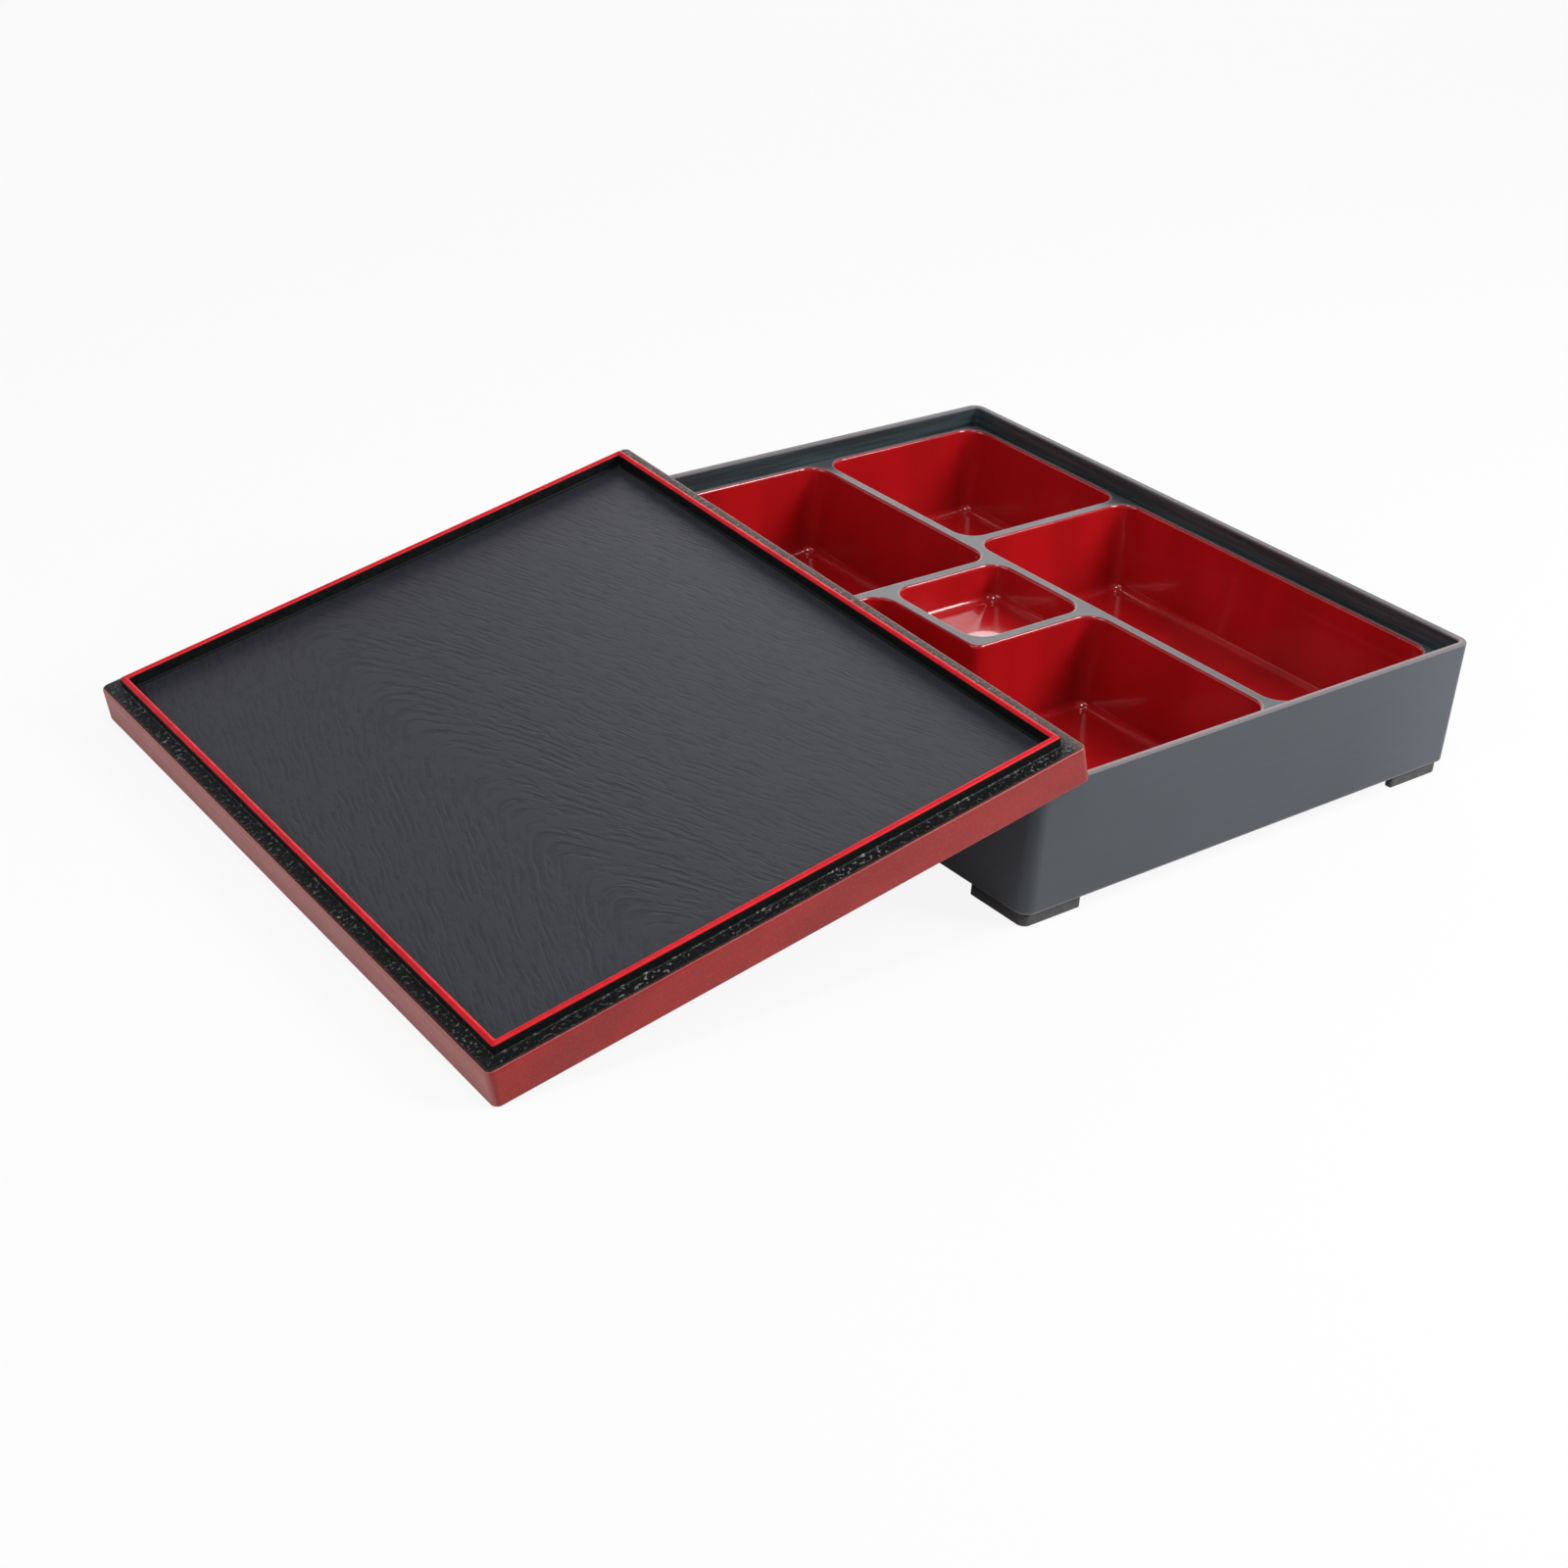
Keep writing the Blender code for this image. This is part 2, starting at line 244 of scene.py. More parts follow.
# Shares of the dust colours on the lid; the share and width of the strip along its left edge where the dust
# colour is painted on as sheen, standing in for the reflection of white surroundings; and the share of
# painted sheen on the right side of the flange
LID_EDGE_DUST = 0.20
LID_PAINTED_SHEEN = 0.50
LID_PAINTED_SHEEN_WIDTH = 1.5 * MM
LID_FINE_DUST = 0.09
FLANGE_PAINTED_SHEEN = 0.45

# The wood figure of the lid's panel: the middle line of its peaks, their steepness and roundness,
# how the flanks straighten outwards, how far the rings wander and how far apart they are. The shift
# keeps their count above zero.
FIGURE_AXIS = -40.0 * MM
FIGURE_SLOPE = 0.28
FIGURE_TIP = 5.0 * MM
FIGURE_SPREAD = 0.62
FIGURE_SCALE = 0.63
FIGURE_SWAY = 11.0 * MM
FIGURE_RIPPLE = 4.0 * MM
RING_PITCH = 2.2 * MM
RING_SHIFT = 200.0

# Where across the lid the relief of the figure fades, and its strength at each end
RELIEF_FADE = (-35.0 * MM, 45.0 * MM, 1.15, 0.45)


def rectangle(x0, x1, y0, y1):
    """Corners of a rectangle, counter-clockwise."""
    return [(x0, y0), (x1, y0), (x1, y1), (x0, y1)]


def centred(width, length):
    """Corners of a rectangle about the origin."""
    return rectangle(-width / 2, width / 2, -length / 2, length / 2)


def edge_directions(corners):
    """For each corner: the way in, the way out and the sense of the turn."""
    count = len(corners)
    found = []
    for i in range(count):
        here = Vector(corners[i])
        before = (here - Vector(corners[i - 1])).normalized()
        after = (Vector(corners[(i + 1) % count]) - here).normalized()
        found.append((before, after, before.x * after.y - before.y * after.x))
    return found


def rounded(corners, radii):
    """A counter-clockwise outline of arcs, with a holding point on each side of every arc."""
    points = []
    for corner, size, (before, after, turn) in zip(corners, radii, edge_directions(corners)):
        size = max(size, LEAST_RADIUS)
        start = Vector(corner) - before * size
        side = Vector((-before.y, before.x)) * math.copysign(1.0, turn)
        centre = start + side * size
        arm = start - centre
        points.append(start - before * HOLD)
        for step in range(CORNER_STEPS + 1):
            angle = math.copysign(math.pi / 2, turn) * step / CORNER_STEPS
            c = math.cos(angle)
            s = math.sin(angle)
            points.append(centre + Vector((arm.x * c - arm.y * s, arm.x * s + arm.y * c)))
        points.append(points[-1] + after * HOLD)
    return points


def moved_inward(corners, inset):
    """The corners of an outline moved inward by the inset."""
    moved = []
    for corner, (before, after, _) in zip(corners, edge_directions(corners)):
        inward = Vector((-before.y, before.x)) + Vector((-after.y, after.x))
        moved.append(Vector(corner) + inward * inset)
    return moved


def outline(corners, inset, radius, inner_radius):
    """A counter-clockwise outline moved inward by the inset, with rounded corners."""
    radii = [radius if turn > 0 else inner_radius for _, _, turn in edge_directions(corners)]
    return rounded(moved_inward(corners, inset), radii)


def quarter(steps):
    """Pairs of sine and versine along a quarter circle."""
    pairs = []
    for step in range(steps + 1):
        angle = math.pi / 2 * step / steps
        pairs.append((math.sin(angle), 1.0 - math.cos(angle)))
    return pairs


class Skin:
    """A mesh made of rings of points. Each point keeps its place on the piece and its edge wear."""

    def __init__(self, place):
        self.place = place
        self.mesh = bmesh.new()
        self.mesh.verts.layers.float.new("wear")
        self.mesh.verts.layers.float_vector.new("own_place")
        self.wear = self.mesh.verts.layers.float["wear"]
        self.own = self.mesh.verts.layers.float_vector["own_place"]

    def ring(self, points, height, wear=0.0):
        """One closed ring of vertices at a height."""
        made = []
        for p in points:
            spot = Vector((p.x, p.y, height))
            vertex = self.mesh.verts.new(self.place @ spot)
            vertex[self.wear] = wear
            vertex[self.own] = spot
            made.append(vertex)
        return made

    def wall(self, lower, upper, slot):
        """Faces between two rings of the same count."""
        count = len(lower)
        for i in range(count):
            j = (i + 1) % count
            face = self.mesh.faces.new((lower[i], lower[j], upper[j], upper[i]))
            face.material_index = slot
            face.smooth = True

    def cap(self, ring, slot=0):
        """One flat face across a ring."""
        face = self.mesh.faces.new(ring)
        face.material_index = slot
        face.smooth = True

    def stack(self, rings, slots=None):
        """Walls through a list of rings, with a material for each wall."""
        for i, (lower, upper) in enumerate(zip(rings, rings[1:])):
            self.wall(lower, upper, slots[i] if slots else 0)

    def plate(self, outer, holes, slot):
        """Flat triangles between an outer ring and the rings of its holes."""
        rings = [outer] + holes
        verts = [v for ring in rings for v in ring]
        flat = [v[self.own].xy for v in verts]
        edges = []
        start = 0
        for ring in rings:
            count = len(ring)
            edges += [(start + i, start + (i + 1) % count) for i in range(count)]
            start += count
        _, _, faces, _, _, _ = delaunay_2d_cdt(flat, edges, [], 0, TRIANGLE_SLACK)
        hole_plans = [[v[self.own].xy for v in ring] for ring in holes]
        outer_plan = flat[:len(outer)]
        for corners in faces:
            middle = sum((flat[i] for i in corners), Vector((0.0, 0.0))) / len(corners)
            if not inside(middle, outer_plan):
                continue
            if any(inside(middle, plan) for plan in hole_plans):
                continue
            face = self.mesh.faces.new([verts[i] for i in corners])
            face.material_index = slot
            face.smooth = True

    def item(self, name, coats):
        """The finished object with its coats."""
        bmesh.ops.recalc_face_normals(self.mesh, faces=self.mesh.faces)
        data = bpy.data.meshes.new(name)
        self.mesh.to_mesh(data)
        self.mesh.free()
        made = bpy.data.objects.new(name, data)
        bpy.context.scene.collection.objects.link(made)
        for coat in coats:
            data.materials.append(coat)
        return made


def inside(point, plan):
    """Whether a point lies inside a closed plan."""
    odd = False
    last = plan[-1]
    for here in plan:
        if (here.y > point.y) != (last.y > point.y):
            cross = here.x + (point.y - here.y) * (last.x - here.x) / (last.y - here.y)
            if point.x < cross:
                odd = not odd
        last = here
    return odd


def shade(colour, share):
    """A colour made darker or lighter."""
    return tuple(min(1.0, c * share) for c in colour)


class Tree:
    """A short way to write a material's nodes."""

    def __init__(self, name):
        self.coat = bpy.data.materials.new(name)
        self.coat.use_nodes = True
        self.nodes = self.coat.node_tree.nodes
        self.links = self.coat.node_tree.links
        self.shader = self.nodes["Principled BSDF"]

    def node(self, kind, **values):
        """A new node with its settings."""
        made = self.nodes.new(kind)
        for key, value in values.items():
            setattr(made, key, value)
        return made

    def feed(self, socket, value):
        """Link an output to a socket, or set the socket's number."""
        if isinstance(value, bpy.types.NodeSocket):
            self.links.new(value, socket)
        elif value is not None:
            socket.default_value = value

    def place(self):
        """The piece's own coordinates, kept on the mesh."""
        return self.node("ShaderNodeAttribute", attribute_name="own_place").outputs["Vector"]

    def math(self, operation, first, second=None, third=None):
        """The result of one sum."""
        made = self.node("ShaderNodeMath", operation=operation)
        for socket, value in zip(made.inputs, (first, second, third)):
            self.feed(socket, value)
        return made.outputs[0]

    def split(self, vector):
        """The three numbers of a vector."""
        made = self.node("ShaderNodeSeparateXYZ")
        self.feed(made.inputs[0], vector)
        return made.outputs

    def join(self, x, y, z):
        """A vector of three numbers."""
        made = self.node("ShaderNodeCombineXYZ")
        for socket, value in zip(made.inputs, (x, y, z)):
            self.feed(socket, value)
        return made.outputs[0]

    def scaled(self, vector, scale):
        """A vector stretched by its own amount along each axis."""
        made = self.node("ShaderNodeVectorMath", operation="MULTIPLY")
        self.feed(made.inputs[0], vector)
        made.inputs[1].default_value = scale
        return made.outputs[0]

    def noise(self, vector, scale, detail, roughness):
        """Even noise about one half."""
        made = self.node("ShaderNodeTexNoise")
        self.feed(made.inputs["Vector"], vector)
        made.inputs["Scale"].default_value = scale
        made.inputs["Detail"].default_value = detail
        made.inputs["Roughness"].default_value = roughness
        return made.outputs[0]

    def remap(self, value, low, high, to_low, to_high):
        """A value taken smoothly from one range to another."""
        made = self.node("ShaderNodeMapRange", interpolation_type="SMOOTHSTEP")
        self.feed(made.inputs["Value"], value)
        made.inputs["From Min"].default_value = low
        made.inputs["From Max"].default_value = high
        made.inputs["To Min"].default_value = to_low
        made.inputs["To Max"].default_value = to_high
        return made.outputs["Result"]

    def mix(self, share, first, second):
        """A mix of two colours."""
        made = self.node("ShaderNodeMix", data_type="RGBA")
        self.feed(made.inputs["Factor"], share)
        for key, value in (("A", first), ("B", second)):
            socket = next(s for s in made.inputs if s.name == key and s.type == "RGBA")
            if isinstance(value, bpy.types.NodeSocket):
                self.links.new(value, socket)
            else:
                socket.default_value = (*value, 1.0)
        return next(s for s in made.outputs if s.type == "RGBA")

    def wear(self):
        """The edge-wear value kept on the mesh."""
        made = self.node("ShaderNodeAttribute", attribute_name="wear")
        return made.outputs["Fac"]

    def mottle(self, noise, low, high, colour, dark, light):
        """A colour that changes with the noise from a darker to a lighter shade."""
        return self.mix(self.remap(noise, low, high, 0.0, 1.0), shade(colour, dark), shade(colour, light))

    def rubbed(self, colour, share):
        """A colour with a share of rubbed grey on the worn edges."""
        return self.mix(self.math("MULTIPLY", self.wear(), share), colour, RUBBED_GREY)

    def bump(self, height, strength, distance):
        """A normal that follows a height."""
        made = self.node("ShaderNodeBump")
        made.inputs["Strength"].default_value = strength
        made.inputs["Distance"].default_value = distance
        self.feed(made.inputs["Height"], height)
        return made.outputs["Normal"]

    def finish(self, colour, roughness, normal, specular=0.5, coat=0.0, coat_roughness=0.05):
        """The material, with its colour, gloss, relief and clear coat."""
        self.links.new(colour, self.shader.inputs["Base Color"])
        self.feed(self.shader.inputs["Roughness"], roughness)
        self.feed(self.shader.inputs["Normal"], normal)
        self.shader.inputs["Specular IOR Level"].default_value = specular
        self.shader.inputs["Coat Weight"].default_value = coat
        self.shader.inputs["Coat Roughness"].default_value = coat_roughness
        return self.coat


def wall_coat():
    """Satin blue-grey paint, almost smooth, over a faint level grain, with painted light on its right side.
    """
    t = Tree("charcoal_wall")
    place = t.place()
    grain = t.noise(t.scaled(place, (26.0, 26.0, 950.0)), 1.0, 4.0, 0.6)
    cloud = t.noise(place, 14.0, 2.0, 0.5)
    colour = t.mottle(grain, 0.38, 0.62, WALL_GREY, 0.99, 1.01)
    colour = t.mix(t.remap(cloud, 0.35, 0.65, 0.0, 0.6), colour, shade(WALL_GREY, 0.92))
    # Painted light: the outside is lightened towards its right side, where the key lamp falls.
    x, y, _ = t.split(place)
    painted_light_share = t.remap(x, WALL_PAINTED_LIGHT_START, WALL_PAINTED_LIGHT_END, 0.0, 1.0)
    colour = t.mix(painted_light_share, colour, shade(WALL_GREY, WALL_PAINTED_LIGHT))
    colour = t.rubbed(colour, t.remap(y, WALL_RUB_START, WALL_RUB_END, WALL_RUB_NEAR, WALL_RUB_FAR))
    roughness = t.remap(grain, 0.35, 0.65, 0.50, 0.47)
    return t.finish(colour, roughness, t.bump(grain, 0.02, 0.0003), specular=0.35)


def inner_coat():
    """The bluish black inside of the box, with a stronger level grain."""
    t = Tree("charcoal_inside")
    place = t.place()
    grain = t.noise(t.scaled(place, (16.0, 16.0, 520.0)), 1.0, 4.0, 0.62)
    colour = t.rubbed(t.mottle(grain, 0.36, 0.66, INSIDE_GREY, 0.55, 1.35), INSIDE_RUB)
    roughness = t.remap(grain, 0.35, 0.65, 0.52, 0.38)
    return t.finish(colour, roughness, t.bump(grain, 0.5, 0.0005), specular=0.35)


def foot_coat():
    """Dark grey feet, lightly scuffed."""
    t = Tree("charcoal_feet")
    scuff = t.noise(t.place(), 260.0, 4.0, 0.65)
    colour = t.rubbed(t.mottle(scuff, 0.40, 0.66, FOOT_GREY, 0.75, 1.20), FOOT_SCUFF)
    return t.finish(colour, t.remap(scuff, 0.35, 0.65, 0.42, 0.62), t.bump(scuff, 0.25, 0.0003))


def web_coat():
    """Grey satin paint of the insert's top, with a fine spatter texture."""
    t = Tree("web_satin")
    place = t.place()
    spatter = t.noise(place, 1300.0, 2.0, 0.6)
    cloud = t.noise(place, 30.0, 3.0, 0.55)
    colour = t.mottle(cloud, 0.35, 0.65, WEB_GREY, 0.86, 1.12)
    colour = t.mix(t.remap(spatter, 0.55, 0.70, 0.0, 0.35), colour, shade(WEB_GREY, 1.6))
    colour = t.rubbed(colour, WEB_RUB)
    roughness = t.remap(spatter, 0.30, 0.70, 0.36, 0.46)
    return t.finish(colour, roughness, t.bump(spatter, 0.18, 0.0002), specular=0.42)


def cup_coat():
    """Glossy red lacquer with soft flow marks and hair scratches."""
    t = Tree("cup_lacquer")
    place = t.place()
    flow = t.noise(t.scaled(place, (42.0, 42.0, 9.0)), 1.0, 2.0, 0.5)
    hair = t.noise(t.scaled(place, (900.0, 60.0, 60.0)), 1.0, 3.0, 0.6)
    colour = t.mottle(flow, 0.35, 0.65, CUP_RED, 0.92, 1.08)
    colour = t.mix(t.remap(hair, 0.66, 0.76, 0.0, 0.06), colour, shade(CUP_RED, 2.0))
    roughness = t.remap(hair, 0.45, 0.75, 0.17, 0.24)
    normal = t.bump(flow, 0.05, 0.0010)
    return t.finish(colour, roughness, normal, specular=0.25, coat=0.60, coat_roughness=0.03)


def under_coat():
    """The bare dark underside of the insert."""
    t = Tree("insert_under")
    fine = t.noise(t.place(), 700.0, 3.0, 0.6)
    colour = t.mottle(fine, 0.35, 0.65, UNDER_GREY, 0.8, 1.25)
    return t.finish(colour, t.remap(fine, 0.35, 0.65, 0.44, 0.56), t.bump(fine, 0.2, 0.0002))


def figure(t):
    """Growth rings of a flat-sawn board, nested peaks that point away from the near edge, and its pores."""
    place = t.place()
    x, y, _ = t.split(place)
    wide = t.noise(t.scaled(place, (11.0, 8.0, 1.0)), 1.0, 2.0, 0.5)
    fine = t.noise(t.scaled(place, (85.0, 50.0, 1.0)), 1.0, 3.0, 0.55)
    sway = t.math("MULTIPLY_ADD", t.math("SUBTRACT", wide, 0.5), FIGURE_SWAY, x)
    sway = t.math("MULTIPLY_ADD", t.math("SUBTRACT", fine, 0.5), FIGURE_RIPPLE, sway)
    across = t.math("SUBTRACT", sway, FIGURE_AXIS)
    round_tip = t.math("MULTIPLY_ADD", across, across, FIGURE_TIP * FIGURE_TIP)
    flank = t.math("DIVIDE", t.math("POWER", round_tip, FIGURE_SPREAD), FIGURE_SCALE)
    radius = t.math("MULTIPLY_ADD", y, FIGURE_SLOPE, flank)
    phase = t.math("DIVIDE", radius, RING_PITCH)
    step = t.math("FRACT", t.math("ADD", phase, RING_SHIFT))
    ridge = t.math("MULTIPLY", t.remap(step, 0.0, 0.62, 0.0, 1.0), t.remap(step, 0.80, 1.0, 1.0, 0.0))
    ring_place = t.scaled(t.join(phase, y, x), (0.8, 70.0, 35.0))
    patch = t.noise(ring_place, 1.0, 2.0, 0.6)
    ridge = t.math("MULTIPLY", ridge, t.remap(patch, 0.46, 0.60, 0.0, 1.0))
    pore_place = t.scaled(t.join(radius, y, x), (560.0, 150.0, 80.0))
    pores = t.noise(pore_place, 1.0, 3.0, 0.6)
    return ridge, pores


def panel_coat():
    """Matt black paint over a shallow embossed wood figure."""
    t = Tree("panel_grain")
    ridge, pores = figure(t)
    place = t.place()
    speck = t.noise(place, 900.0, 2.0, 0.6)
    pit = t.remap(pores, 0.50, 0.62, 0.0, 1.0)
    colour = t.mix(t.math("MULTIPLY", ridge, 0.75), shade(PANEL_BLACK, 1.08), shade(PANEL_BLACK, 0.70))
    colour = t.mix(t.math("MULTIPLY", pit, 0.35), colour, shade(PANEL_BLACK, 0.55))
    colour = t.mix(t.remap(speck, 0.66, 0.78, 0.0, 0.35), colour, shade(PANEL_BLACK, 2.0))
    roughness = t.math("MULTIPLY_ADD", pit, 0.04, 0.46)
    height = t.math("MULTIPLY_ADD", pit, -0.5, t.math("MULTIPLY", ridge, -0.9))
    height = t.math("MULTIPLY", height, t.remap(t.split(place)[0], *RELIEF_FADE))
    height = t.math("MULTIPLY_ADD", speck, 0.30, height)
    return t.finish(colour, roughness, t.bump(height, 0.17, 0.0003), specular=0.50)


def flange_coat():
    """Black paint with a sparse sparkling texture, brown on its worn edge, and a painted sheen towards its
    right side.
    """
    t = Tree("flange_sparkle")
    place = t.place()
    coarse = t.noise(place, 620.0, 3.0, 0.7)
    grit = t.noise(place, 1700.0, 1.0, 0.5)
    patch = t.remap(t.noise(place, 55.0, 2.0, 0.5), 0.42, 0.62, 0.35, 1.0)
    shine = t.math("MULTIPLY", t.remap(coarse, 0.55, 0.65, 0.0, 1.0), patch)
    colour = t.mix(shine, FLANGE_BLACK, SPARKLE)
    # Painted sheen: the flange turns grey-brown towards its right side, standing in for its reflection of
    # the backdrop.
    right = lid_size()[0] / 2
    painted_sheen_share = t.remap(t.split(place)[0], right - BEAD_INSET, right - LID_EDGE_ROUND, 0.0, FLANGE_PAINTED_SHEEN)
    colour = t.mix(t.wear(), colour, EDGE_BROWN)
    colour = t.mix(painted_sheen_share, colour, FLANGE_SHEEN_COLOUR)
    height = t.math("MULTIPLY_ADD", grit, 0.5, coarse)
    roughness = t.remap(coarse, 0.4, 0.65, 0.50, 0.28)
    return t.finish(colour, roughness, t.bump(height, 0.6, 0.0006), specular=0.20)


def bead_wall_coat():
    """Smooth black paint of the bead's two walls."""
    t = Tree("bead_black")
    fine = t.noise(t.place(), 600.0, 2.0, 0.5)
    colour = t.mottle(fine, 0.35, 0.65, BEAD_BLACK, 0.8, 1.3)
    roughness = t.remap(fine, 0.35, 0.65, 0.46, 0.54)
    return t.finish(colour, roughness, t.bump(fine, 0.1, 0.0002), specular=0.10)


def bead_coat():
    """Bright red enamel over the crown of the bead."""
    t = Tree("bead_enamel")
    brush = t.noise(t.place(), 180.0, 3.0, 0.6)
    colour = t.mottle(brush, 0.35, 0.68, CROWN_RED, 0.88, 1.06)
    roughness = t.remap(brush, 0.35, 0.65, 0.50, 0.42)
    return t.finish(colour, roughness, t.bump(brush, 0.10, 0.0003), specular=0.20)


def lid_red_coat():
    """Satin red moulding of the lid, dusty on its edges, with a painted sheen along its left side."""
    t = Tree("lid_red")
    place = t.place()
    cloud = t.noise(t.scaled(place, (24.0, 24.0, 60.0)), 1.0, 3.0, 0.55)
    grain = t.noise(t.scaled(place, (60.0, 60.0, 900.0)), 1.0, 3.0, 0.6)
    fine = t.noise(place, 1100.0, 2.0, 0.6)
    colour = t.mottle(cloud, 0.35, 0.65, LID_RED, 0.90, 1.10)
    # Painted sheen: the left side is mixed towards the dust colour, standing in for the reflection of white
    # surroundings.
    left = -lid_size()[0] / 2
    painted_sheen_share = t.remap(t.split(place)[0], left, left + LID_PAINTED_SHEEN_WIDTH, LID_PAINTED_SHEEN, 0.0)
    colour = t.mix(t.remap(fine, 0.5, 0.72, 0.0, LID_FINE_DUST), colour, LID_DUST_AND_SHEEN)
    colour = t.mix(t.math("MULTIPLY_ADD", t.wear(), LID_EDGE_DUST, painted_sheen_share), colour, LID_DUST_AND_SHEEN)
    height = t.math("MULTIPLY_ADD", fine, 0.4, grain)
    return t.finish(colour, t.remap(grain, 0.35, 0.65, 0.32, 0.42), t.bump(height, 0.2, 0.0003))


def box_place():
    """The middle of the box mouth, with the rim at height zero."""
    low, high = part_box("outer_box")
    return Vector(((low.x + high.x) / 2, (low.y + high.y) / 2, high.z))


def outer_box(middle):
    """The open box: painted outside, grained dark inside, rubbed edges."""
    corners = centred(BOX_WIDTH, BOX_LENGTH)
    inner_floor = -BOX_WALL_HEIGHT + BOX_FLOOR
    skin = Skin(Matrix.Translation(middle))

    def ring(inset, height, wear=0.0):
        lean = BOX_DRAFT * -height / BOX_WALL_HEIGHT
        radius = BOX_CORNER_RADIUS - min(inset, BOX_WALL)
        return skin.ring(outline(corners, inset + lean, radius, radius), height, wear)

    base = -BOX_WALL_HEIGHT
    rings = [ring(RIM_ROUND + HOLD, base)]
    for along, rise in reversed(quarter(RIM_STEPS)):
        rings.append(ring(RIM_ROUND * rise, base + RIM_ROUND * (1.0 - along), BASE_RUB))
    rings.append(ring(0.0, base + RIM_ROUND + ROUND_HOLD))
    rings.append(ring(0.0, base + WALL_HOLD))
    rings.append(ring(0.0, -RIM_ROUND - WALL_HOLD))
    rings.append(ring(0.0, -RIM_ROUND - ROUND_HOLD))
    for along, rise in quarter(RIM_STEPS):
        rings.append(ring(RIM_ROUND * rise, -RIM_ROUND + RIM_ROUND * along, RIM_SIDE_RUB * along))
    for along, rise in quarter(RIM_STEPS):
        rings.append(ring(BOX_WALL - RIM_ROUND + RIM_ROUND * along, -RIM_ROUND * rise, 1.0))
    painted = len(rings) - 1
    rings.append(ring(BOX_WALL, -RIM_ROUND - ROUND_HOLD))
    rings.append(ring(BOX_WALL, inner_floor + BOX_FLOOR_FILLET + ROUND_HOLD))
    for along, rise in quarter(BOX_FLOOR_STEPS):
        height = inner_floor + BOX_FLOOR_FILLET * (1.0 - along)
        rings.append(ring(BOX_WALL + BOX_FLOOR_FILLET * rise, height))
    rings.append(ring(BOX_WALL + BOX_FLOOR_FILLET + HOLD, inner_floor))
    slots = [OUTSIDE if i < painted else INSIDE for i in range(len(rings) - 1)]
    skin.stack(rings, slots)
    skin.cap(list(reversed(rings[0])), OUTSIDE)
    skin.cap(rings[-1], INSIDE)
    return skin.item("box_shell", [wall_coat(), inner_coat()])


def corner_feet(middle):
    """The four L-shaped feet, let into the underside of the box."""
    skin = Skin(Matrix.Translation(middle))
    leg = FOOT_LEG
    thick = FOOT_THICKNESS
    corners = [(0, 0), (leg, 0), (leg, thick), (thick, thick), (thick, leg), (0, leg)]
    end = FOOT_END_RADIUS
    base = -BOX_WALL_HEIGHT - FOOT_HEIGHT
    top = -BOX_WALL_HEIGHT + FOOT_SINK
    reach_x = BOX_WIDTH / 2 - BOX_DRAFT - FOOT_INSET
    reach_y = BOX_LENGTH / 2 - BOX_DRAFT - FOOT_INSET
    levels = []
    for along, rise in quarter(FOOT_STEPS):
        levels.append((FOOT_EDGE_ROUND * (1.0 - along), FOOT_EDGE_ROUND * rise, FOOT_RUB))
    levels.append((0.0, FOOT_EDGE_ROUND + HOLD, 0.0))
    levels.append((0.0, top - base, 0.0))
    for side_x in (-1, 1):
        for side_y in (-1, 1):
            rings = []
            for inset, lift, wear in levels:
                radii = [BOX_CORNER_RADIUS - FOOT_INSET - inset] + [end - inset] * 5
                flat = rounded(moved_inward(corners, inset), radii)
                spots = [Vector((side_x * (reach_x - p.x), side_y * (reach_y - p.y))) for p in flat]
                rings.append(skin.ring(spots, base + lift, wear))
            skin.stack(rings)
            skin.cap(rings[0])
            skin.cap(rings[-1])
    return skin.item("corner_feet", [foot_coat()])


def cup_plans():
    """Outline corners, floor height and draft of the five compartments."""
    half = WEB_WIDTH / 2
    edge_x = BOX_WIDTH / 2 - BOX_WALL - INSERT_SIDE_GAP - RIM_LAND
    far_y = BOX_LENGTH / 2 - BOX_WALL - INSERT_SIDE_GAP - RIM_LAND
    near_y = -BOX_LENGTH / 2 + BOX_WALL + INSERT_SIDE_GAP + NEAR_LAND
    deep = -BOX_WALL_HEIGHT + BOX_FLOOR + REST_GAP + INSERT_WALL
    shallow = -INSERT_DROP - SMALL_CUP_DEPTH
    right = SPLIT_ACROSS + half
    left = SPLIT_ACROSS - half
    far_left = rectangle(-edge_x, left, SPLIT_LEFT + half, far_y)
    far_right = rectangle(right, edge_x, SPLIT_RIGHT + half, far_y)
    near_right = rectangle(right, edge_x, near_y, SPLIT_RIGHT - half)
    small = rectangle(SMALL_CUP_LEFT + half, left, SMALL_CUP_NEAR + half, SPLIT_LEFT - half)
    near_left = [
        (-edge_x, near_y),
        (left, near_y),
        (left, SMALL_CUP_NEAR - half),
        (SMALL_CUP_LEFT - half, SMALL_CUP_NEAR - half),
        (SMALL_CUP_LEFT - half, SPLIT_LEFT - half),
        (-edge_x, SPLIT_LEFT - half),
    ]
    plans = []
    for corners in (far_left, far_right, near_right, near_left):
        plans.append((corners, deep, CUP_DRAFT))
    plans.append((small, shallow, SMALL_CUP_DRAFT))
    return plans


